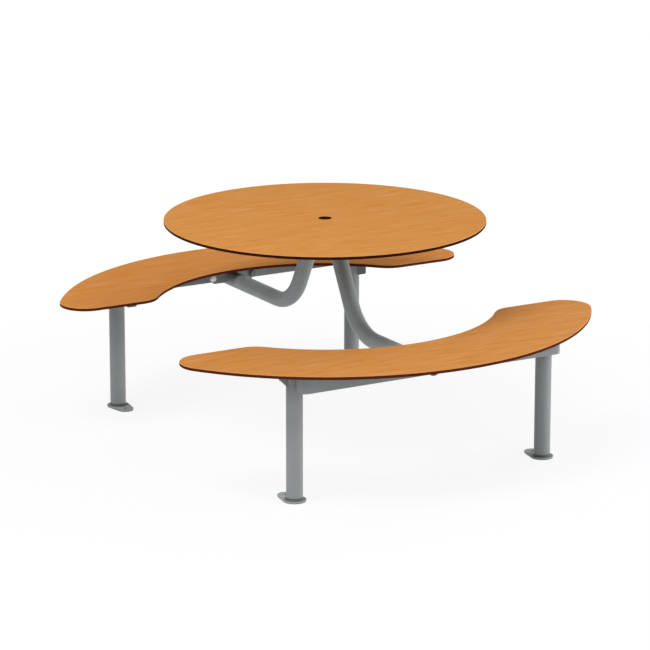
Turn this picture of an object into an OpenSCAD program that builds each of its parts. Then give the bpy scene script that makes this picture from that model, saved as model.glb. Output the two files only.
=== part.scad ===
// Round table with two attached curved benches.
// Origin on the floor under the middle of the table, +Z up, benches at -Y and +Y.

/* [Overall] */
// Height of the table surface above the floor
table_h = 757; // [700:1:800]
// Height of the seat surface above the floor
seat_h = 454; // [400:1:500]

/* [Table top] */
// Diameter of the table top
top_d = 1100; // [900:5:1150]
// Thickness of the table board
top_t = 12; // [8:0.5:20]
// Chamfer along the edges of all boards
board_chamfer = 2; // [0.5:0.1:3]
// Diameter of the parasol hole
pole_d = 43; // [30:1:50]

/* [Seats] */
// Radius of the concave edge of a seat, from the middle of the table
seat_in_r = 587.5; // [570:0.5:600]
// Depth of a seat from its concave edge to its convex edge
seat_depth = 325; // [300:1:360]
// Thickness of a seat board
seat_t = 12; // [8:0.5:20]
// Distance of the straight seat ends from the middle line between the benches
seat_end_y = 349; // [330:1:370]
// Corner radius of the seat ends
seat_corner_r = 90; // [60:1:100]

/* [Legs] */
// Sideways distance of a leg's axis from the outermost point of the seat
leg_inset = 304.5; // [290:0.5:320]
// Distance of a leg's axis behind the deepest point of the seat's concave edge
leg_back = 44; // [34:0.5:52]
// Diameter of a leg
leg_d = 55; // [48:0.5:60]
// Wall of a leg
leg_wall = 3; // [2:0.5:5]
// Leg length of the weld round the foot of each leg
foot_weld = 5; // [3:0.5:6]

/* [Feet] */
// Thickness of a foot plate
foot_t = 6; // [5:0.5:10]
// Width of the foot plate's rim round the leg
foot_rim = 11; // [8:0.5:14]
// Radius of the foot plate's narrow toe
toe_r = 28; // [20:0.5:32]
// Distance from the leg to the centre of the toe
toe_reach = 57; // [50:1:70]
// Diameter of the floor anchor hole in the toe
anchor_d = 12; // [9:0.5:16]

/* [Seat beams] */
// Distance from the leg axis out to the outer face of the seat beam
beam_offset = 83.5; // [70:0.5:90]
// Distance that the beam ends pass the leg axis sideways
beam_over = 20; // [15:0.5:22]
// Height of the beam's flat bar
beam_h = 57; // [45:1:65]
// Thickness of the beam's flat bar
beam_t = 5; // [4:0.5:8]
// Outer radius of the bends at the ends of the beam
beam_bend_r = 25; // [12:0.5:28]

/* [Bent tubes] */
// Diameter of a bent tube
tube_d = 55; // [48:0.5:60]
// Wall of a bent tube
tube_wall = 3; // [2:0.5:5]
// Slope of the upper stretch of a bent tube from the floor, in degrees
tube_slope = 61.7; // [56:0.1:66]
// Radius of the bend along the axis of the tube
tube_bend_r = 183; // [150:1:210]
// Distance of the tube axis from the middle where it meets the support plate
tube_top_y = 43; // [42:0.5:60]
// Depth of the level tube axis below the underside of the seat
tube_drop = 42.5; // [40:0.5:50]

/* [Table support plate] */
// Diameter of the plate that the table top is screwed to
plate_d = 360; // [300:5:420]
// Thickness of the support plate
plate_t = 6; // [5:0.5:10]
// Number of screws that hold the table top
table_screws_n = 8; // [4:1:12]
// Distance of the table screws from the rim of the support plate
screw_inset = 30; // [20:1:40]

/* [Saddle plates] */
// Distance from the leg axis line out to the saddle plate
saddle_offset = 28.5; // [20:0.5:40]
// Thickness of a saddle plate
saddle_t = 5; // [4:0.5:8]
// Height of a saddle plate
saddle_h = 49; // [46:1:54]
// Width of a saddle plate along its lower edge
saddle_low_w = 150; // [146:2:200]
// Width of a saddle plate along its upper edge
saddle_top_w = 268; // [240:2:280]

/* [Seat fixings] */
// Thickness of the pads, cleats and gussets under the seats
steel_t = 5; // [4:0.5:8]
// Length of a pad along the seat
pad_w = 125; // [120:1:140]
// Length of a pad across the seat
pad_l = 130; // [125:1:140]
// Distance that a pad reaches past the leg axis towards the middle of the bench
pad_in = 45; // [40:1:50]
// Distance that a pad reaches past the leg axis away from the table
pad_out = 30; // [29:0.5:36]
// Corner radius of the pads
pad_corner_r = 12; // [5:1:20]
// Distance from the leg axis to the tip of a gusset
gusset_reach = 73; // [60:1:74]
// Height of a gusset along the leg
gusset_h = 49; // [40:1:70]
// Height of the blunt tip of a gusset
gusset_nose = 5; // [3:0.5:10]
// Width of a box arm
arm_w = 36; // [30:1:40]
// Height of a box arm
arm_h = 55; // [40:1:58]
// Wall of a box arm
arm_wall = 3; // [2:0.5:3.5]
// Corner radius of a box arm
arm_corner_r = 4; // [3.5:0.5:8]
// Distance from the leg axis to the front end of a box arm, towards the table
arm_front = 89.5; // [70:0.5:92]
// Distance from the leg axis to the back end of a box arm, on the same side
arm_back = 15; // [14:0.5:20]
// Distance of a box arm's middle from the leg axis, towards the middle of the bench
arm_side = 13.4; // [10:0.1:14]
// Thickness of the end cap's cover
cap_t = 3.5; // [2:0.5:5]
// Depth of the end cap's plug inside the arm
cap_plug = 12; // [8:1:20]
// Width of a cleat
cleat_w = 36; // [34:1:44]
// Height of a cleat
cleat_h = 44; // [43:0.5:48]
// Depth of a cleat under the seat
cleat_l = 40; // [34:1:44]

/* [Fasteners] */
// Sideways distance of the saddle bolts from the middle
bolt_x = 81; // [78:0.5:84]
// Depth of the saddle bolts below the underside of the seat
bolt_drop = 32; // [30:0.5:33]
// Diameter of the saddle bolts
bolt_d = 12; // [8:0.5:12]
// Diameter of the wood screws' shanks
screw_d = 6; // [4:0.5:6]
// Diameter of the wood screws' heads
screw_head_d = 12; // [10:0.5:14]
// Height of the wood screws' heads
screw_head_h = 3.5; // [2:0.5:5]
// Depth of the wood screws in the boards
screw_grip = 6; // [4:0.5:7]
// Radial clearance round bolts and screws
fit_gap = 0.3; // [0.1:0.1:0.5]

/* [Hidden] */
$fn = 96;
EDGE_FN = 240;
SCREW_FN = 32;

// Heights of the stacked faces
top_under_z = table_h - top_t;
plate_under_z = top_under_z - plate_t;
seat_under_z = seat_h - seat_t;
pad_under_z = seat_under_z - steel_t;
tube_z = seat_under_z - tube_drop;
bolt_z = seat_under_z - bolt_drop;

// Seat outline
seat_out_r = seat_in_r + seat_depth;
corner_y = seat_end_y + seat_corner_r;
tip_x = sqrt(pow(seat_out_r - seat_corner_r, 2) - pow(corner_y, 2));
shoulder_x = sqrt(pow(seat_in_r + seat_corner_r, 2) - pow(corner_y, 2));

// Place of a leg's axis, set out to whole millimetres along the bench
leg_x = round(tip_x + seat_corner_r - leg_inset);
leg_y = seat_in_r + leg_back;

// Seat beam
beam_face_y = leg_y + beam_offset;
beam_back_y = beam_face_y - beam_t;
beam_end_x = leg_x + beam_over;
// the bent ends lean inward onto the legs by 7 in 24
beam_lean = atan2(7, 24);

// Bent tube, in the plane across the benches
tube_r = tube_d / 2;
tube_corner_y = tube_top_y + (plate_under_z - tube_z) / tan(tube_slope);
tube_tangent = tube_bend_r * tan(tube_slope / 2);
tube_upper_l = (plate_under_z - tube_z) / sin(tube_slope) - tube_tangent;
seam_step = 0.15;
seam_lap = 1;

// Saddle plate and cleats
saddle_y = leg_y + saddle_offset;
saddle_low_z = pad_under_z - saddle_h;
cleat_y = saddle_y + saddle_t;

// Screws and bolts
pole_gap = 1;
cut = 1;
leg_r = leg_d / 2;
hole_d = screw_d + 2 * fit_gap;
bolt_head_w = 1.6 * bolt_d;
bolt_head_h = 0.62 * bolt_d;
washer_d = 2 * bolt_d;
washer_t = 2.5;
nut_h = 0.8 * bolt_d;
bolt_tail = 3;

// Places of the screws in each pad, from the leg axis: along the bench, away from the table
pad_screws = [
    [pad_w - pad_in - 18, 16],
    [pad_w - pad_in - 18, pad_out - pad_l + 18],
    [8 - pad_in, -6]
];
cleat_screw_y = cleat_y + 0.6 * cleat_l;

// Copies a shape that is drawn for the rear right quarter to another quarter
module quarter(side, end) {
    mirror([side < 0 ? 1 : 0, 0, 0])
        mirror([0, end < 0 ? 1 : 0, 0])
            children();
}

// Copies a shape to all four quarters
module each_quarter() {
    for (side = [-1, 1], end = [-1, 1])
        quarter(side, end) children();
}

// Half profile of a round board from radius r0 to r1, with chamfered edges
module board_profile(r0, r1, thick, c) {
    polygon([
        [r0 + c, 0], [r1 - c, 0], [r1, c], [r1, thick - c],
        [r1 - c, thick], [r0 + c, thick], [r0, thick - c], [r0, c]
    ]);
}

// Pilot holes for wood screws in the underside of a board
module pilot_hole(x, y, under_z) {
    translate([x, y, under_z - cut])
        cylinder(d = hole_d, h = screw_grip + fit_gap + cut, $fn = SCREW_FN);
}

module table_screw_places() {
    for (i = [0 : table_screws_n - 1])
        rotate([0, 0, (i + 0.5) * 360 / table_screws_n])
            translate([plate_d / 2 - screw_inset, 0, 0]) children();
}

// Wood screw with a pan head, pointing up, its head under under_z, through a steel plate
module wood_screw(under_z, through_t) {
    head_z = under_z - through_t - screw_head_h;
    translate([0, 0, head_z + screw_head_h / 2])
        cylinder(d = screw_head_d, h = screw_head_h / 2, $fn = SCREW_FN);
    translate([0, 0, head_z])
        cylinder(d1 = 0.7 * screw_head_d, d2 = screw_head_d, h = screw_head_h / 2, $fn = SCREW_FN);
    translate([0, 0, under_z - through_t])
        cylinder(d = screw_d, h = through_t + screw_grip, $fn = SCREW_FN);
}

module table_top() {
    color("peru") difference() {
        translate([0, 0, top_under_z])
            rotate_extrude($fn = EDGE_FN)
                board_profile(pole_d / 2, top_d / 2, top_t, board_chamfer);
        table_screw_places() pilot_hole(0, 0, top_under_z);
    }
}

module table_plate() {
    color("slategray") difference() {
        translate([0, 0, plate_under_z]) cylinder(d = plate_d, h = plate_t);
        translate([0, 0, plate_under_z - cut])
            cylinder(d = pole_d + 2 * pole_gap, h = plate_t + 2 * cut);
        table_screw_places()
            translate([0, 0, plate_under_z - cut])
                cylinder(d = hole_d, h = plate_t + 2 * cut, $fn = SCREW_FN);
    }
}

module table_screws() {
    color("silver") table_screw_places() wood_screw(top_under_z, plate_t);
}

// What a rounded seat corner leaves over, beside the puck about its centre.
// dir is 1 at the outer tip and -1 at the shoulder beside the table.
module seat_corner(cx, dir) {
    c = board_chamfer;
    r = seat_corner_r - seam_step;
    away = dir * [cx, corner_y] / norm([cx, corner_y]);
    far = [cx, corner_y] + 1.5 * seat_corner_r * away;
    low_y = seat_end_y - seat_corner_r;
    difference() {
        translate([0, 0, -cut / 2]) linear_extrude(seat_t + cut) polygon([
            [cx, corner_y], [cx, low_y], [cx + dir * 2 * seat_corner_r, low_y],
            far + [dir * seat_corner_r, 0], far
        ]);
        translate([cx, corner_y, 0]) rotate_extrude() polygon([
            [0, -cut], [r - c - cut, -cut], [r, c], [r, seat_t - c],
            [r - c - cut, seat_t + cut], [0, seat_t + cut]
        ]);
    }
}

// Curved seat board: half a ring with straight ends and rounded corners
module seat() {
    c = board_chamfer;
    color("chocolate") difference() {
        translate([0, 0, seat_under_z]) difference() {
            rotate_extrude(angle = 180, $fn = EDGE_FN)
                board_profile(seat_in_r, seat_out_r, seat_t, c);
            // what lies on the table's side of the straight ends
            translate([-seat_out_r - cut, 0, 0]) rotate([90, 0, 90])
                linear_extrude(2 * (seat_out_r + cut)) polygon([
                    [-cut, -cut], [seat_end_y + c + cut, -cut], [seat_end_y, c],
                    [seat_end_y, seat_t - c], [seat_end_y + c + cut, seat_t + cut],
                    [-cut, seat_t + cut]
                ]);
            for (side = [0, 1]) mirror([side, 0, 0]) {
                seat_corner(tip_x, 1);
                seat_corner(shoulder_x, -1);
            }
        }
        for (side = [0, 1]) mirror([side, 0, 0]) {
            for (p = pad_screws) pilot_hole(leg_x + p[0], leg_y + p[1], seat_under_z);
            pilot_hole(bolt_x, cleat_screw_y, seat_under_z);
        }
    }
}

// Flat bar on edge, bent round at both ends and welded to the legs
module beam() {
    straight_x = beam_end_x - beam_bend_r;
    bend_y = beam_face_y - beam_bend_r;
    color("slategray") difference() {
        translate([0, 0, pad_under_z - beam_h]) {
            translate([-straight_x, beam_back_y, 0]) cube([2 * straight_x, beam_t, beam_h]);
            for (side = [0, 1]) mirror([side, 0, 0]) translate([straight_x, bend_y, 0]) {
                beam_bend(90);
                // the rest of the bend laps the first stretch
                rotate([0, 0, -beam_lean]) {
                    beam_bend(2 * beam_lean);
                    translate([beam_bend_r - beam_t, leg_y - bend_y, 0])
                        cube([beam_t, bend_y - leg_y, beam_h]);
                }
            }
        }
        for (side = [0, 1]) mirror([side, 0, 0])
            translate([leg_x, leg_y, 0]) cylinder(d = leg_d, h = seat_h);
    }
}

// Stretch of the bend at the end of the flat bar
module beam_bend(turn) {
    rotate_extrude(angle = turn)
        translate([beam_bend_r - beam_t, 0]) square([beam_t, beam_h]);
}

// Solid rod along the route of the bent tube; the sloping stretch is a hair slimmer than the bend
module tube_route(r) {
    translate([0, tube_corner_y + tube_tangent, tube_z]) {
        rotate([-90, 0, 0]) rotate([0, 0, 90])
            cylinder(r = r, h = beam_back_y - tube_corner_y - tube_tangent);
        translate([0, 0, tube_bend_r])
            rotate([180, 90, 0])
                rotate_extrude(angle = tube_slope)
                    translate([tube_bend_r, 0]) circle(r = r);
    }
    translate([0, tube_corner_y, tube_z])
        rotate([90 - tube_slope, 0, 0]) rotate([0, 0, -90])
            translate([0, 0, tube_tangent - seam_lap])
                cylinder(r = r - seam_step, h = tube_upper_l + 2 * tube_r);
}

// Round tube from under the table, round one bend and level out to the seat beam
module bent_tube() {
    color("slategray") difference() {
        tube_route(tube_r);
        tube_route(tube_r - tube_wall);
        // upper end cut level under the support plate
        translate([-tube_d, -tube_d, plate_under_z]) cube([2 * tube_d, 4 * tube_d, 4 * tube_d]);
        // room for the parasol pole
        translate([0, 0, tube_z])
            cylinder(d = pole_d + 2 * pole_gap, h = table_h - tube_z);
    }
}

module leg() {
    translate([leg_x, leg_y, 0]) color("slategray") difference() {
        union() {
            translate([0, 0, foot_t]) cylinder(d = leg_d, h = pad_under_z - foot_t);
            translate([0, 0, foot_t])
                cylinder(r1 = leg_r + foot_weld, r2 = leg_r, h = foot_weld);
        }
        translate([0, 0, foot_t - cut])
            cylinder(d = leg_d - 2 * leg_wall, h = pad_under_z - foot_t + 2 * cut);
    }
}

// Flat foot: a round disc under the leg that narrows to a toe with an anchor hole
module foot() {
    foot_r = leg_r + foot_rim;
    lean = (foot_r - toe_r) / toe_reach;
    wide = sqrt(1 - lean * lean);
    translate([leg_x, leg_y, 0]) color("slategray") difference() {
        union() {
            cylinder(r = foot_r, h = foot_t);
            translate([0, -toe_reach, 0]) cylinder(r = toe_r, h = foot_t);
            linear_extrude(foot_t) polygon([
                [foot_r * wide, -foot_r * lean], [-foot_r * wide, -foot_r * lean],
                [-toe_r * wide, -toe_reach - toe_r * lean], [toe_r * wide, -toe_reach - toe_r * lean]
            ]);
        }
        translate([0, -toe_reach, -cut]) cylinder(d = anchor_d, h = foot_t + 2 * cut);
    }
}

// Triangular plate between the outer side of the leg and the pad
module gusset() {
    color("slategray") difference() {
        translate([leg_x, leg_y + steel_t / 2, pad_under_z])
            rotate([90, 0, 0]) linear_extrude(steel_t) polygon([
                [leg_r / 2, -gusset_h], [leg_r, -gusset_h], [gusset_reach, -gusset_nose],
                [gusset_reach, 0], [leg_r / 2, 0]
            ]);
        translate([leg_x, leg_y, 0]) cylinder(d = leg_d, h = seat_h);
    }
}

// Bar with the box arm's section, shrunk by inset, from distance y0 to y1 in front of the leg axis
module arm_bar(y0, y1, inset) {
    w = arm_w - 2 * inset;
    h = arm_h - 2 * inset;
    translate([leg_x - arm_side - w / 2, leg_y - y0, pad_under_z - arm_h + inset])
        rotate([90, 0, 0])
            linear_extrude(y1 - y0) rounded_rect(w, h, arm_corner_r - inset);
}

// Short box section in front of the leg that carries the inner part of the pad
module arm() {
    color("slategray") difference() {
        arm_bar(arm_back, arm_front, 0);
        arm_bar(arm_back - cut, arm_front + cut, arm_wall);
        translate([leg_x, leg_y, 0]) cylinder(d = leg_d, h = seat_h);
    }
}

module arm_cap() {
    color("dimgray") {
        arm_bar(arm_front, arm_front + cap_t, 0);
        arm_bar(arm_front - cap_plug, arm_front, arm_wall + fit_gap);
    }
}

// Flat pad on top of the leg that the seat is screwed to
module pad() {
    color("slategray") difference() {
        translate([leg_x, leg_y, pad_under_z]) linear_extrude(steel_t)
            translate([-pad_in, pad_out - pad_l]) rounded_rect(pad_w, pad_l, pad_corner_r);
        for (p = pad_screws)
            translate([leg_x + p[0], leg_y + p[1], pad_under_z - cut])
                cylinder(d = hole_d, h = steel_t + 2 * cut, $fn = SCREW_FN);
    }
}

// Rectangle from the origin with rounded corners
module rounded_rect(w, l, r) {
    translate([r, 0]) square([w - 2 * r, l]);
    translate([0, r]) square([w, l - 2 * r]);
    for (x = [r, w - r], y = [r, l - r])
        translate([x, y]) circle(r = r, $fn = SCREW_FN);
}

// Hole or solid through the saddle plate and cleat at the saddle bolt
module at_bolt() {
    translate([bolt_x, saddle_y, bolt_z]) rotate([-90, 0, 0]) children();
}

module bolt_hole() {
    at_bolt() translate([0, 0, -cut])
        cylinder(d = bolt_d + 2 * fit_gap, h = saddle_t + steel_t + 2 * cut);
}

// Tapered plate that straddles the level end of the bent tube
module saddle() {
    color("slategray") difference() {
        translate([0, saddle_y + saddle_t, saddle_low_z])
            rotate([90, 0, 0]) linear_extrude(saddle_t) polygon([
                [-saddle_low_w / 2, 0], [saddle_low_w / 2, 0],
                [saddle_top_w / 2, saddle_h], [-saddle_top_w / 2, saddle_h]
            ]);
        translate([0, saddle_y - cut, tube_z]) rotate([-90, 0, 0])
            cylinder(d = tube_d, h = saddle_t + 2 * cut);
        for (side = [0, 1]) mirror([side, 0, 0]) bolt_hole();
    }
}

// Angle piece that is bolted to the saddle plate and screwed to the seat
module cleat() {
    color("slategray") difference() {
        translate([bolt_x - cleat_w / 2, cleat_y, 0]) {
            translate([0, 0, seat_under_z - cleat_h]) cube([cleat_w, steel_t, cleat_h]);
            translate([0, 0, pad_under_z]) cube([cleat_w, cleat_l, steel_t]);
        }
        bolt_hole();
        translate([bolt_x, cleat_screw_y, pad_under_z - cut])
            cylinder(d = hole_d, h = steel_t + 2 * cut, $fn = SCREW_FN);
    }
}

module saddle_bolts() {
    grip = saddle_t + steel_t + nut_h + bolt_tail;
    color("silver") each_quarter() at_bolt() {
        translate([0, 0, -washer_t - bolt_head_h])
            cylinder(d = bolt_head_w * 2 / sqrt(3), h = bolt_head_h, $fn = 6);
        translate([0, 0, -washer_t - cut])
            cylinder(d = bolt_d, h = washer_t + cut + grip);
    }
}

module saddle_washers() {
    color("silver") each_quarter() at_bolt() translate([0, 0, -washer_t]) difference() {
        cylinder(d = washer_d, h = washer_t);
        translate([0, 0, -cut]) cylinder(d = bolt_d + 2 * fit_gap, h = washer_t + 2 * cut);
    }
}

module saddle_nuts() {
    color("silver") each_quarter() at_bolt() translate([0, 0, saddle_t + steel_t]) difference() {
        cylinder(d = bolt_head_w * 2 / sqrt(3), h = nut_h, $fn = 6);
        translate([0, 0, -cut]) cylinder(d = bolt_d + 2 * fit_gap, h = nut_h + 2 * cut);
    }
}

module seat_screws() {
    color("silver") each_quarter() {
        for (p = pad_screws)
            translate([leg_x + p[0], leg_y + p[1], 0]) wood_screw(seat_under_z, steel_t);
        translate([bolt_x, cleat_screw_y, 0]) wood_screw(seat_under_z, steel_t);
    }
}

table_top();
table_plate();
table_screws();
quarter(1, -1) bent_tube();  // front_bent_tube
bent_tube();  // rear_bent_tube
quarter(1, -1) seat();  // front_seat
seat();  // rear_seat
quarter(1, -1) beam();  // front_beam
beam();  // rear_beam
quarter(-1, -1) leg();  // front_left_leg
quarter(1, -1) leg();  // front_right_leg
quarter(-1, 1) leg();  // rear_left_leg
leg();  // rear_right_leg
quarter(-1, -1) foot();  // front_left_foot
quarter(1, -1) foot();  // front_right_foot
quarter(-1, 1) foot();  // rear_left_foot
foot();  // rear_right_foot
quarter(-1, -1) gusset();  // front_left_gusset
quarter(1, -1) gusset();  // front_right_gusset
quarter(-1, 1) gusset();  // rear_left_gusset
gusset();  // rear_right_gusset
quarter(-1, -1) arm();  // front_left_arm
quarter(1, -1) arm();  // front_right_arm
quarter(-1, 1) arm();  // rear_left_arm
arm();  // rear_right_arm
quarter(-1, -1) arm_cap();  // front_left_cap
quarter(1, -1) arm_cap();  // front_right_cap
quarter(-1, 1) arm_cap();  // rear_left_cap
arm_cap();  // rear_right_cap
quarter(-1, -1) pad();  // front_left_pad
quarter(1, -1) pad();  // front_right_pad
quarter(-1, 1) pad();  // rear_left_pad
pad();  // rear_right_pad
quarter(1, -1) saddle();  // front_saddle
saddle();  // rear_saddle
quarter(-1, -1) cleat();  // front_left_cleat
quarter(1, -1) cleat();  // front_right_cleat
quarter(-1, 1) cleat();  // rear_left_cleat
cleat();  // rear_right_cleat
saddle_bolts();
saddle_washers();
saddle_nuts();
seat_screws();
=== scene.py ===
import math

import bmesh
import bpy
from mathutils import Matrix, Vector


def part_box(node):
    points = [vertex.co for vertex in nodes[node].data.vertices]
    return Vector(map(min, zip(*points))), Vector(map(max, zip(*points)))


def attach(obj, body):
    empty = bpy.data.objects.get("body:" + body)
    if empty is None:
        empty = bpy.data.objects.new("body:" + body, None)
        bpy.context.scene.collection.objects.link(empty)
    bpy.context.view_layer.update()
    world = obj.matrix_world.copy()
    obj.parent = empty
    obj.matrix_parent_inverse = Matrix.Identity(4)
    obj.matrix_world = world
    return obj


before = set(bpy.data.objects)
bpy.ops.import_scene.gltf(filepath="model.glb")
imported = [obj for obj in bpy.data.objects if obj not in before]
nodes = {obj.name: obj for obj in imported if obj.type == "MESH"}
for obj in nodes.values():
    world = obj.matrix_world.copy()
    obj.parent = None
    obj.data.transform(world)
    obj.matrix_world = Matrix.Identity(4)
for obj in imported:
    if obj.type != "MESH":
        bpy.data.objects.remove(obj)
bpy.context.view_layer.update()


# Camera, at the photograph's viewing angle

LENS_MM = 191.36
SENSOR_MM = 36.0
CAMERA_ELEVATION = math.radians(15.017)
CAMERA_AZIMUTH = math.radians(-30.209)
CAMERA_DISTANCE = 11.8746
CAMERA_TARGET = Vector((0.0003, -0.0002, 0.3792))
CAMERA_ROLL = math.radians(0.044)
CAMERA_REACH = 200.0


def direction(azimuth, elevation):
    """Unit vector from the object towards a viewer or lamp at this azimuth and elevation."""
    return Vector((math.sin(azimuth) * math.cos(elevation),
                   -math.cos(azimuth) * math.cos(elevation),
                   math.sin(elevation)))


def add_camera():
    data = bpy.data.cameras.new("camera")
    data.lens = LENS_MM
    data.sensor_width = SENSOR_MM
    data.clip_end = CAMERA_REACH
    cam = bpy.data.objects.new("camera", data)
    bpy.context.scene.collection.objects.link(cam)
    back = direction(CAMERA_AZIMUTH, CAMERA_ELEVATION)
    cam.location = CAMERA_TARGET + back * CAMERA_DISTANCE
    cam.rotation_euler = (-back).to_track_quat("-Z", "Y").to_euler()
    cam.rotation_euler.rotate_axis("Z", CAMERA_ROLL)
    bpy.context.scene.camera = cam


add_camera()


# Material helpers

def srgb(r, g, b):
    """Linear colour of an 8-bit screen colour."""
    def one(v):
        v /= 255.0
        return v / 12.92 if v <= 0.04045 else ((v + 0.055) / 1.055) ** 2.4
    return (one(r), one(g), one(b), 1.0)


class Graph:
    """Small wrapper that makes and links the nodes of one material."""

    def __init__(self, name):
        self.mat = bpy.data.materials.new(name)
        self.mat.use_nodes = True
        self.tree = self.mat.node_tree
        self.bsdf = self.tree.nodes["Principled BSDF"]
        self.output = self.tree.nodes["Material Output"]

    def node(self, kind, **values):
        n = self.tree.nodes.new(kind)
        for key, value in values.items():
            setattr(n, key, value)
        return n

    def link(self, a, b):
        self.tree.links.new(a, b)

    def position(self):
        """Place on the object in metres; every object sits at the origin."""
        return self.node("ShaderNodeTexCoord").outputs["Object"]

    def scaled(self, vector, scale):
        m = self.node("ShaderNodeMapping")
        m.inputs["Scale"].default_value = scale
        self.link(vector, m.inputs["Vector"])
        return m.outputs["Vector"]

    def noise(self, vector, scale, detail=3.0, roughness=0.5):
        """Noise with this many waves per metre along each axis."""
        n = self.node("ShaderNodeTexNoise")
        n.inputs["Scale"].default_value = 1.0
        n.inputs["Detail"].default_value = detail
        n.inputs["Roughness"].default_value = roughness
        self.link(self.scaled(vector, scale), n.inputs["Vector"])
        return n.outputs["Fac"]

    def ramp(self, fac, stops):
        r = self.node("ShaderNodeValToRGB")
        ends = r.color_ramp.elements
        while len(ends) < len(stops):
            ends.new(0.5)
        for e, (place, color) in zip(ends, stops):
            e.position = place
            e.color = color
        self.link(fac, r.inputs["Fac"])
        return r.outputs["Color"]

    def axis(self, vector, letter):
        """One coordinate of a vector."""
        s = self.node("ShaderNodeSeparateXYZ")
        self.link(vector, s.inputs[0])
        return s.outputs[letter]

    def facing_up(self):
        """How far the surface faces up, from -1 to 1."""
        return self.axis(self.node("ShaderNodeNewGeometry").outputs["Normal"], "Z")

    def level_length(self, vector):
        """Length of a vector without its height."""
        away = self.node("ShaderNodeVectorMath", operation="LENGTH")
        self.link(self.scaled(vector, (1.0, 1.0, 0.0)), away.inputs[0])
        return away.outputs["Value"]

    def math(self, op, a, b=None, c=None):
        m = self.node("ShaderNodeMath", operation=op)
        for socket, value in zip(m.inputs, (a, b, c)):
            if value is None:
                continue
            if isinstance(value, (int, float)):
                socket.default_value = value
            else:
                self.link(value, socket)
        return m.outputs[0]

    def between(self, value, low, high):
        """Number that runs straight from low to high as the value runs from 0 to 1."""
        return self.math("MULTIPLY_ADD", value, high - low, low)

    def weighted(self, a, share, b):
        """Sum of two values, with this share of the first and the rest of the second."""
        return self.math("MULTIPLY_ADD", a, share, self.math("MULTIPLY", b, 1.0 - share))

    def mix(self, fac, a, b, blend="MIX"):
        m = self.node("ShaderNodeMix", data_type="RGBA", blend_type=blend)
        for socket, value in ((m.inputs[0], fac), (m.inputs[6], a), (m.inputs[7], b)):
            if isinstance(value, (int, float, tuple)):
                socket.default_value = value
            else:
                self.link(value, socket)
        return m.outputs[2]

    def multiplied(self, a, b, fac=1.0):
        return self.mix(fac, a, b, "MULTIPLY")

    def smooth_range(self, value, low, high, at_low, at_high):
        """Value that runs smoothly from one end to the other between low and high."""
        m = self.node("ShaderNodeMapRange", interpolation_type="SMOOTHSTEP")
        self.link(value, m.inputs["Value"])
        m.inputs["From Min"].default_value = low
        m.inputs["From Max"].default_value = high
        m.inputs["To Min"].default_value = at_low
        m.inputs["To Max"].default_value = at_high
        return m.outputs["Result"]

    def bump(self, height, strength, distance):
        b = self.node("ShaderNodeBump")
        b.inputs["Strength"].default_value = strength
        b.inputs["Distance"].default_value = distance
        self.link(height, b.inputs["Height"])
        self.link(b.outputs["Normal"], self.bsdf.inputs["Normal"])

    def set(self, **values):
        """Constants on the shader's own sockets."""
        for key, value in values.items():
            self.bsdf.inputs[key.replace("_", " ")].default_value = value


# Boards: a wood-grain face over a dark core, with a plain brown-grey underside

# how far up a face and a chamfer look, and how far from the middle the parasol hole's chamfer ends
FACE_LEVEL = 0.85
RIM_LEVEL = 0.5
HOLE_RIM_R = 0.03
# how far a seed moves the pattern across the board for each metre along it
SEED_ACROSS = 0.37
# waves per metre along the board, across it and up, and how far the slow ones bend the grain
WANDER = 0.07
WANDER_SCALE = (1.1, 2.6, 0.0)
STREAK_SCALE = (6.5, 66.0, 0.0)
BAND_SCALE = (2.6, 24.0, 0.0)
FLECK_SCALE = (15.0, 120.0, 0.0)
FIBRE_SCALE = (22.0, 900.0, 0.0)
CORE_SCALE = (240.0, 240.0, 900.0)
UNDERSIDE_SCALE = (30.0, 45.0, 0.0)
WEAR_SCALE = (9.0, 9.0, 9.0)
# how much of the figure is streaks and not bands, and how strongly the pores show
STREAK_SHARE = 0.75
PORE_SHARE = 0.45
BOARD_GLOSS = 0.012
WHITE = (1.0, 1.0, 1.0, 1.0)
FLECK_TINT = (0.95, 0.87, 0.81, 1.0)
PORE_TINT = (0.84, 0.80, 0.74, 1.0)
UNDERSIDE = srgb(86, 72, 62)


def tint(color, r, g, b):
    """The colour with its three channels scaled."""
    return (color[0] * r, color[1] * g, color[2] * b, 1.0)


def grey_tint(color, level):
    """The colour with all its channels scaled alike."""
    return tint(color, level, level, level)


def bent_grain(g, place):
    """The place on the board, with slow waves that bend the grain sideways."""
    wander = g.noise(place, WANDER_SCALE, detail=2.0)
    joined = g.node("ShaderNodeCombineXYZ")
    g.link(g.axis(place, "X"), joined.inputs["X"])
    g.link(g.math("ADD", g.axis(place, "Y"), g.math("MULTIPLY", wander, WANDER)), joined.inputs["Y"])
    return joined.outputs[0]


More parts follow.
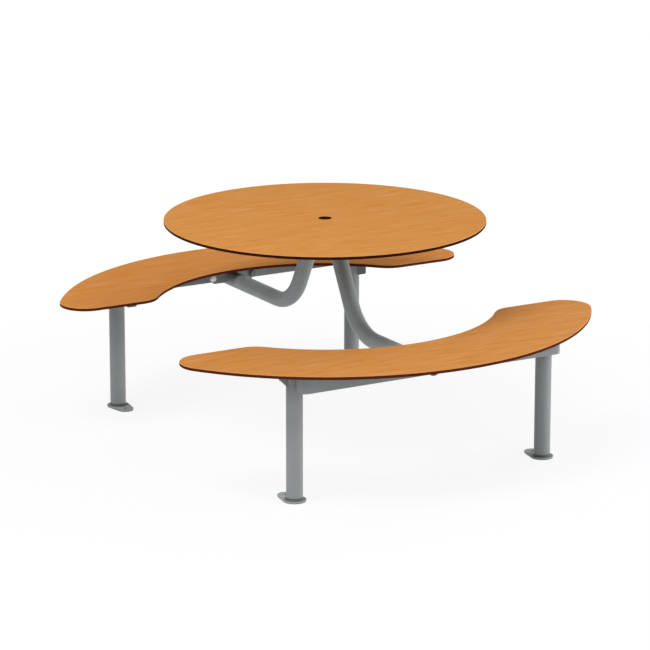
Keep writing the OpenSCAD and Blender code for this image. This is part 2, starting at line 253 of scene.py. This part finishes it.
def board_material(name, face, rim_highlight, core, seed):
    """Wood-grain board; the seed moves the pattern, so that each board has its own."""
    g = Graph(name)
    pos = g.position()
    shift = g.node("ShaderNodeVectorMath", operation="ADD")
    shift.inputs[1].default_value = (seed, seed * SEED_ACROSS, 0.0)
    g.link(pos, shift.inputs[0])
    place = shift.outputs[0]

    # pale and warm streaks along the board, then a few reddish flecks and fine fibres
    grain_at = bent_grain(g, place)
    streaks = g.noise(grain_at, STREAK_SCALE, roughness=0.55)
    bands = g.noise(grain_at, BAND_SCALE, detail=2.0)
    flecks = g.noise(grain_at, FLECK_SCALE, detail=2.0)
    fibres = g.noise(grain_at, FIBRE_SCALE, roughness=0.6)
    color = g.ramp(g.weighted(streaks, STREAK_SHARE, bands), [
        (0.35, tint(face, 0.92, 0.84, 0.64)),
        (0.46, face),
        (0.56, tint(face, 1.01, 1.03, 1.12)),
        (0.66, tint(face, 1.08, 1.24, 1.78))])
    marks = g.ramp(flecks, [(0.60, WHITE), (0.72, FLECK_TINT)])
    pores = g.ramp(fibres, [(0.30, PORE_TINT), (0.46, WHITE)])
    color = g.multiplied(color, marks)
    color = g.multiplied(color, pores, PORE_SHARE)

    # the edge is cut through the face into the core, and its upper chamfer gets a painted highlight,
    # lighter than the face
    speckle = g.noise(place, CORE_SCALE)
    core_color = g.mix(speckle, grey_tint(core, 0.72), grey_tint(core, 1.3))
    rim_highlight_color = g.mix(speckle, tint(rim_highlight, 0.9, 0.88, 0.85), grey_tint(rim_highlight, 1.1))
    mottle = g.noise(place, UNDERSIDE_SCALE, detail=4.0)
    under_color = g.mix(mottle, grey_tint(UNDERSIDE, 0.8), grey_tint(UNDERSIDE, 1.2))

    # face, chamfer and underside are told apart by how far they look up, and the parasol hole
    # keeps the core's colour
    level = g.facing_up()
    is_face = g.math("GREATER_THAN", level, FACE_LEVEL)
    is_under = g.math("LESS_THAN", level, -FACE_LEVEL)
    outside_hole = g.math("GREATER_THAN", g.level_length(pos), HOLE_RIM_R)
    is_highlit_rim = g.math("MULTIPLY", g.math("GREATER_THAN", level, RIM_LEVEL), outside_hole)
    edge = g.mix(is_under, g.mix(is_highlit_rim, core_color, rim_highlight_color), under_color)
    g.link(g.mix(is_face, edge, color), g.bsdf.inputs["Base Color"])

    worn = g.noise(place, WEAR_SCALE, detail=4.0)
    g.link(g.between(worn, 0.50, 0.66), g.bsdf.inputs["Roughness"])
    g.bump(g.weighted(fibres, 0.6, streaks), strength=0.15, distance=0.0004)
    g.set(Specular_IOR_Level=BOARD_GLOSS)
    return g.mat


# Frame steel: silver-grey powder coat, with painted light that makes it a little paler towards the
# floor and on the foot plates, and painted shade in the corner between a leg and its foot plate

CLOUD_SCALE = (7.0, 7.0, 7.0)
GRIT_SCALE = (1400.0, 1400.0, 1400.0)
PEEL_SCALE = (420.0, 420.0, 420.0)
# how high the painted light near the floor reaches, how much paler it makes the coat and how much
# rougher the plates
PAINTED_FLOOR_LIGHT_TOP = 0.33
PAINTED_FLOOR_LIGHT = 1.08
PLATE_TOP = 0.011
# how much paler the painted light makes the tops of the foot plates
PLATE_PAINTED_LIGHT = 1.6
PLATE_ROUGHER = 0.42
# how dark the painted shade in the corner is, and how far out and up it reaches
CORNER_PAINTED_SHADE = 0.34
CORNER_OUT = 0.0045
CORNER_TOP = 0.018
COAT_GLOSS = 0.3


def shaded(g, color, level):
    """The colour of a node output with all its channels scaled."""
    return g.multiplied(color, (level, level, level, 1.0))


def on_foot_plate(g, height):
    """1 on top of the foot plates, 0 elsewhere."""
    return g.math("MULTIPLY", g.math("GREATER_THAN", g.facing_up(), FACE_LEVEL),
                  g.math("LESS_THAN", height, PLATE_TOP))


def painted_corner_shade(g, pos, height, color):
    """The coat's colour, with painted shade that darkens the corner between a leg and its foot plate.
    """
    leg_lo, leg_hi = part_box("rear_right_leg")
    weld_r = (leg_hi.x - leg_lo.x) / 2
    quarter = g.node("ShaderNodeVectorMath", operation="ABSOLUTE")
    g.link(pos, quarter.inputs[0])
    from_leg = g.node("ShaderNodeVectorMath", operation="SUBTRACT")
    from_leg.inputs[1].default_value = ((leg_lo.x + leg_hi.x) / 2, (leg_lo.y + leg_hi.y) / 2, 0.0)
    g.link(quarter.outputs[0], from_leg.inputs[0])
    away = g.level_length(from_leg.outputs[0])
    out = g.smooth_range(away, weld_r, weld_r + CORNER_OUT, 0.0, 1.0)
    above = g.smooth_range(height, PLATE_TOP, CORNER_TOP, 0.0, 1.0)
    return g.mix(g.math("MAXIMUM", out, above), shaded(g, color, CORNER_PAINTED_SHADE), color)


def coat_material(name, base):
    """Powder coat with slow clouds of tone, fine grit and a slight orange peel."""
    g = Graph(name)
    pos = g.position()
    height = g.axis(pos, "Z")
    cloud = g.noise(pos, CLOUD_SCALE, detail=5.0, roughness=0.6)
    grit = g.noise(pos, GRIT_SCALE, detail=2.0)
    peel = g.noise(pos, PEEL_SCALE, detail=2.0)
    tone = g.weighted(cloud, 0.6, grit)
    color = g.ramp(tone, [(0.35, grey_tint(base, 0.92)), (0.65, grey_tint(base, 1.08))])
    # painted light: the coat gets paler towards the floor, where the legs catch more light
    painted_floor_light_share = g.smooth_range(height, 0.0, PAINTED_FLOOR_LIGHT_TOP, 1.0, 0.0)
    color = g.mix(painted_floor_light_share, color, shaded(g, color, PAINTED_FLOOR_LIGHT))
    on_plate = on_foot_plate(g, height)
    # painted light: the tops of the foot plates are paler, where light falls on them from above
    color = g.mix(on_plate, color, shaded(g, color, PLATE_PAINTED_LIGHT))
    # painted shade in the corner between a leg and its foot plate
    g.link(painted_corner_shade(g, pos, height, color), g.bsdf.inputs["Base Color"])
    rough = g.between(cloud, 0.39, 0.51)
    g.link(g.math("MULTIPLY_ADD", on_plate, PLATE_ROUGHER, rough), g.bsdf.inputs["Roughness"])
    g.bump(peel, strength=0.12, distance=0.0003)
    g.set(Specular_IOR_Level=COAT_GLOSS)
    return g.mat


# Bright zinc-plated or stainless fasteners

BRUSHED_SCALE = (900.0, 160.0, 900.0)
PAINT_METALLIC = 0.15
PAINT_ROUGHER = 0.25


def bright_material(name, paint=None):
    """Bright metal; with a paint colour, the pieces on the right are painted over with the frame."""
    g = Graph(name)
    pos = g.position()
    brushed = g.noise(pos, BRUSHED_SCALE)
    color = g.ramp(brushed, [(0.3, srgb(196, 198, 202)), (0.7, srgb(228, 230, 232))])
    rough = g.between(brushed, 0.14, 0.30)
    if paint:
        is_painted = g.math("GREATER_THAN", g.axis(pos, "X"), 0.0)
        color = g.mix(is_painted, color, g.mix(brushed, grey_tint(paint, 0.8), paint))
        rough = g.math("MULTIPLY_ADD", is_painted, PAINT_ROUGHER, rough)
        g.link(g.between(is_painted, 1.0, PAINT_METALLIC), g.bsdf.inputs["Metallic"])
    else:
        g.set(Metallic=1.0)
    g.link(color, g.bsdf.inputs["Base Color"])
    g.link(rough, g.bsdf.inputs["Roughness"])
    g.bump(brushed, strength=0.08, distance=0.0002)
    return g.mat


# Moulded plastic end caps

PEBBLE_SCALE = (900.0, 900.0, 900.0)
CAP_TONE_SCALE = (30.0, 30.0, 30.0)


def plastic_material(name, base):
    """Moulded plastic with a pebbled surface."""
    g = Graph(name)
    pos = g.position()
    pebble = g.noise(pos, PEBBLE_SCALE)
    tone = g.noise(pos, CAP_TONE_SCALE)
    color = g.ramp(tone, [(0.35, grey_tint(base, 0.85)), (0.65, grey_tint(base, 1.15))])
    g.link(color, g.bsdf.inputs["Base Color"])
    g.link(g.between(tone, 0.5, 0.6), g.bsdf.inputs["Roughness"])
    g.bump(pebble, strength=0.15, distance=0.0003)
    return g.mat


# The finish of each named piece

TABLE_CORE = srgb(46, 22, 14)
SEAT_CORE = srgb(84, 36, 21)

# each board's second colour is the painted highlight on its upper chamfer
table_wood = board_material("table_wood", srgb(204, 138, 68), srgb(213, 148, 84), TABLE_CORE, 0.0)
front_wood = board_material("front_wood", srgb(205, 138, 71), srgb(212, 147, 82), SEAT_CORE, 3.1)
# painted light: the rear seat's face is lighter and warmer than the front seat's, against the table's
# shade on it
rear_wood_painted_light = board_material("rear_wood_painted_light", srgb(209, 137, 67), srgb(217, 146, 79), SEAT_CORE, 7.4)
frame_coat = coat_material("frame_coat", srgb(145, 150, 150))
cap_plastic = plastic_material("cap_plastic", srgb(88, 92, 95))
screw_metal = bright_material("screw_metal")
bolt_metal = bright_material("bolt_metal", paint=srgb(118, 123, 123))

FINISHES = (("table_top", table_wood), ("front_seat", front_wood), ("rear_seat", rear_wood_painted_light),
            ("_cap", cap_plastic), ("screws", screw_metal), ("bolts", bolt_metal),
            ("washers", bolt_metal), ("nuts", bolt_metal))


def finish_of(name):
    """The material of a node, from the end of its name."""
    for ending, material in FINISHES:
        if name.endswith(ending):
            return material
    return frame_coat


for name, obj in nodes.items():
    for slot in obj.material_slots:
        slot.material = finish_of(name)


# Weld beads where the frame's pieces meet

# a bead's radius, how far its centre stands off the faces that it joins, and the ripples along it
BEAD_R = 0.0022
BEAD_OFF = 0.0008
BEAD_STEP = 0.0016
BEAD_SIDES = 8
RIPPLE = 0.1
RIPPLE_TURN = 2.1
TAPER = (0.45, 0.80, 0.95)
# a direction that no bead follows, to start its cross-section from
ASIDE = Vector((0.31, 0.17, 0.94))

# sizes of the leg, the sloping tube, the beam's ends and the parasol hole that no box gives
LEG_R = 0.0275
TUBE_TOP_Y = 0.043
TUBE_SLOPE = math.radians(61.7)
BEAM_T = 0.005
BEAM_BEND_R = 0.025
BEAM_LEAN = math.atan2(7.0, 24.0)
POLE_CLEAR = 0.026

# how far beads stop short of the pad and of the gusset's tip and toe
SHORT_OF_PAD = 0.003
SHORT_OF_TIP = 0.004
SHORT_OF_TOE = 0.001
# degrees round a leg or tube that beads keep from the pieces beside them
BESIDE_ARM = 4.0
BESIDE_GUSSET = 9.0
BESIDE_BEAM = 5.0
ABOVE_PLATE = 1.0
# degrees between two points of an arc
ARC_STEP = 4.0


def resampled(points):
    """The path again, with a point about every bead step."""
    path = [points[0]]
    for a, b in zip(points, points[1:]):
        count = max(1, round((b - a).length / BEAD_STEP))
        path += [a.lerp(b, (i + 1) / count) for i in range(count)]
    return path


def bead_along(bm, points):
    """A rippled bead round a path, thinner at its two ends."""
    path = resampled(points)
    rings = []
    for i, p in enumerate(path):
        ahead = path[min(i + 1, len(path) - 1)] - path[max(i - 1, 0)]
        ahead.normalize()
        side = ahead.cross(ASIDE).normalized()
        up = side.cross(ahead).normalized()
        from_end = min(i, len(path) - 1 - i)
        swell = BEAD_R * (1.0 - RIPPLE + RIPPLE * math.sin(i * RIPPLE_TURN))
        if from_end < len(TAPER):
            swell *= TAPER[from_end]
        turns = [2.0 * math.pi * k / BEAD_SIDES for k in range(BEAD_SIDES)]
        rings.append([bm.verts.new(p + swell * (math.cos(t) * side + math.sin(t) * up)) for t in turns])
    for r0, r1 in zip(rings, rings[1:]):
        for k in range(BEAD_SIDES):
            n = (k + 1) % BEAD_SIDES
            bm.faces.new((r0[k], r0[n], r1[n], r1[k]))
    bm.faces.new(rings[0][::-1])
    bm.faces.new(rings[-1])


def add_weld(name, paths, side, end):
    """One piece with a bead on each path; the two signs mirror it from the rear right."""
    mesh = bpy.data.meshes.new(name)
    bm = bmesh.new()
    for points in paths:
        bead_along(bm, [Vector((side * p[0], end * p[1], p[2])) for p in points])
    bmesh.ops.recalc_face_normals(bm, faces=bm.faces)
    bm.to_mesh(mesh)
    bm.free()
    for poly in mesh.polygons:
        poly.use_smooth = True
    mesh.materials.append(frame_coat)
    obj = bpy.data.objects.new(name, mesh)
    bpy.context.scene.collection.objects.link(obj)
    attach(obj, "root")


def level_arc(x, y, z, radius, start, end):
    """Points on a level circle between two angles in degrees."""
    count = max(2, round(abs(end - start) / ARC_STEP))
    turns = [math.radians(start + (end - start) * i / count) for i in range(count + 1)]
    return [(x + radius * math.cos(t), y + radius * math.sin(t), z) for t in turns]


def upright_arc(x, y, z, radius, start, end):
    """Points on a circle that faces along Y between two angles in degrees."""
    return [(px, y, z + py) for px, py, _ in level_arc(x, 0.0, 0.0, radius, start, end)]


def leg_weld_paths():
    """Where beads run at the upper end of the rear right leg."""
    leg_lo, leg_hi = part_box("rear_right_leg")
    x = (leg_lo.x + leg_hi.x) / 2
    y = (leg_lo.y + leg_hi.y) / 2
    top = leg_hi.z
    toe = LEG_R + BEAD_OFF
    gus_lo, gus_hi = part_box("rear_right_gusset")
    beam_lo, beam_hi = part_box("rear_beam")
    arm_lo, arm_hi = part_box("rear_right_arm")
    paths = []

    # both sides of the gusset, along the pad and down the leg
    for face in (gus_lo.y - BEAD_OFF, gus_hi.y + BEAD_OFF):
        paths.append([(gus_hi.x - SHORT_OF_TIP, face, top - BEAD_OFF),
                      (x + toe, face, top - BEAD_OFF),
                      (x + toe, face, gus_lo.z + SHORT_OF_TOE)])

    # round the beam's leaning end: down its outer face, under it and up its inner face
    out_x, out_y = math.cos(BEAM_LEAN), -math.sin(BEAM_LEAN)
    bend = (beam_hi.x - BEAM_BEND_R - x, beam_hi.y - BEAM_BEND_R - y)
    across = []
    for face in (BEAM_BEND_R + BEAD_OFF, BEAM_BEND_R - BEAM_T - BEAD_OFF):
        off = bend[0] * out_x + bend[1] * out_y + face
        reach = math.sqrt(toe * toe - off * off)
        across.append((x + off * out_x - reach * out_y, y + off * out_y + reach * out_x))
    low = beam_lo.z - BEAD_OFF
    high = top - SHORT_OF_PAD
    paths.append([(*across[0], high), (*across[0], low), (*across[1], low), (*across[1], high)])

    # the arm's open side and its underside
    side_x = arm_hi.x + BEAD_OFF
    side_y = y - math.sqrt(toe * toe - (side_x - x) ** 2)
    start = math.degrees(math.asin((side_y - y) / toe))
    finish = -180.0 - math.degrees(math.asin((arm_hi.y - y) / toe))
    under_arm = arm_lo.z - BEAD_OFF
    paths.append([(side_x, side_y, high), (side_x, side_y, under_arm)]
                 + level_arc(x, y, under_arm, toe, start, finish))

    # the leg's upper end under the pad, between the arm, the gusset and the beam
    sides = [math.degrees(math.atan2(p[1] - y, p[0] - x)) for p in across]
    stops = [start + BESIDE_ARM, -BESIDE_GUSSET, BESIDE_GUSSET, sides[0] - BESIDE_BEAM,
             sides[1] + BESIDE_BEAM, finish + 360.0]
    for a, b in zip(stops[0::2], stops[1::2]):
        paths.append(level_arc(x, y, top - BEAD_OFF, toe, a, b))
    return paths


def tube_weld_paths():
    """Where beads run on the rear bent tube."""
    tube_lo, tube_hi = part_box("rear_bent_tube")
    r = (tube_hi.x - tube_lo.x) / 2
    z = tube_lo.z + r
    toe = r + BEAD_OFF
    paths = []

    # the level tube in the saddle plate and against the beam
    sad_lo, sad_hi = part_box("rear_saddle")
    for plate_z, face in ((sad_lo.z, sad_lo.y - BEAD_OFF), (sad_lo.z, sad_hi.y + BEAD_OFF),
                          (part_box("rear_beam")[0].z, tube_hi.y - BEAD_OFF)):
        low = math.degrees(math.asin((plate_z - z) / toe)) + ABOVE_PLATE
        paths.append(upright_arc(0.0, face, z, toe, low, 180.0 - low))

    # the sloping tube against the plate under the table
    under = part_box("table_plate")[0].z - BEAD_OFF
    ring = [(p[0], TUBE_TOP_Y + p[1] / math.sin(TUBE_SLOPE), under)
            for p in level_arc(0.0, 0.0, 0.0, toe, -90.0, 270.0)]
    paths.append([p for p in ring if math.hypot(p[0], p[1]) > POLE_CLEAR])
    return paths


for end_name, end in (("front", -1), ("rear", 1)):
    add_weld(end_name + "_tube_weld", tube_weld_paths(), 1, end)
    for side_name, side in (("left", -1), ("right", 1)):
        add_weld(end_name + "_" + side_name + "_leg_weld", leg_weld_paths(), side, end)


# Floor, backdrop and light

FLOOR_HALF = 60.0
FLOOR_DROP = 0.0005
FLOOR_GREY = (0.82, 0.82, 0.82, 1.0)
# strength of the floor's own white, its share near the object, and how far out it grows to all
GLOW = 1.02
NEAR_GLOW = 0.86
SHADOW_FROM = 1.1
SHADOW_TO = 2.6


def seen_directly(tree):
    """1 for rays that show the background: to the camera, in a reflection or through glass."""
    rays = tree.nodes.new("ShaderNodeLightPath")
    seen = rays.outputs["Is Camera Ray"]
    for kind in ("Is Glossy Ray", "Is Transmission Ray"):
        either = tree.nodes.new("ShaderNodeMath")
        either.operation = "MAXIMUM"
        tree.links.new(seen, either.inputs[0])
        tree.links.new(rays.outputs[kind], either.inputs[1])
        seen = either.outputs[0]
    return seen


def add_floor():
    mesh = bpy.data.meshes.new("floor")
    h = FLOOR_HALF
    mesh.from_pydata([(-h, -h, 0), (h, -h, 0), (h, h, 0), (-h, h, 0)], [], [(0, 1, 2, 3)])
    floor = bpy.data.objects.new("floor", mesh)
    floor.location.z = -FLOOR_DROP
    bpy.context.scene.collection.objects.link(floor)
    g = Graph("floor")
    g.set(Base_Color=FLOOR_GREY, Roughness=0.9, Specular_IOR_Level=0.0)
    seen = seen_directly(g.tree)
    glow = g.node("ShaderNodeEmission")
    glow.inputs["Color"].default_value = WHITE
    glow.inputs["Strength"].default_value = GLOW

    # near the object the floor keeps a faint shadow, farther out it is plain white
    far = g.smooth_range(g.level_length(g.position()), SHADOW_FROM, SHADOW_TO, NEAR_GLOW, 1.0)
    blend = g.node("ShaderNodeMixShader")
    g.link(g.math("MULTIPLY", seen, far), blend.inputs[0])
    g.link(g.bsdf.outputs[0], blend.inputs[1])
    g.link(glow.outputs[0], blend.inputs[2])
    g.link(blend.outputs[0], g.output.inputs["Surface"])
    mesh.materials.append(g.mat)


def add_world(level):
    """Even light of this level on the object, behind which the background shows as white."""
    world = bpy.data.worlds.new("studio")
    bpy.context.scene.world = world
    world.use_nodes = True
    tree = world.node_tree
    ambient = tree.nodes["Background"]
    ambient.inputs["Color"].default_value = WHITE
    ambient.inputs["Strength"].default_value = level
    white = tree.nodes.new("ShaderNodeBackground")
    white.inputs["Color"].default_value = WHITE
    white.inputs["Strength"].default_value = 1.0
    blend = tree.nodes.new("ShaderNodeMixShader")
    tree.links.new(seen_directly(tree), blend.inputs[0])
    tree.links.new(ambient.outputs[0], blend.inputs[1])
    tree.links.new(white.outputs[0], blend.inputs[2])
    tree.links.new(blend.outputs[0], tree.nodes["World Output"].inputs["Surface"])


WORLD_LEVEL = 0.343
LAMP_DISTANCE = 6.0
LAMP_SIZE = 2.6
LAMP_AIM = Vector((0.0, 0.0, 0.4))
# name, azimuth and elevation in degrees, power in watts
LAMPS = (("low_right", 60.0, 8.0, 151.0),
         ("left", -75.0, 32.0, 69.0),
         ("front", 15.0, 32.0, 48.0),
         ("right", 105.0, 32.0, 76.0),
         ("high_left", -75.0, 60.0, 141.0),
         ("high_front", -30.0, 60.0, 14.0))


def add_lamp(name, azimuth, elevation, power):
    data = bpy.data.lights.new(name, "AREA")
    data.shape = "DISK"
    data.size = LAMP_SIZE
    data.energy = power
    lamp = bpy.data.objects.new(name, data)
    toward = direction(math.radians(azimuth), math.radians(elevation))
    lamp.location = LAMP_AIM + toward * LAMP_DISTANCE
    lamp.rotation_euler = (-toward).to_track_quat("-Z", "Y").to_euler()
    bpy.context.scene.collection.objects.link(lamp)


add_floor()
add_world(WORLD_LEVEL)
for lamp in LAMPS:
    add_lamp(*lamp)

bpy.context.scene.view_settings.view_transform = "Standard"
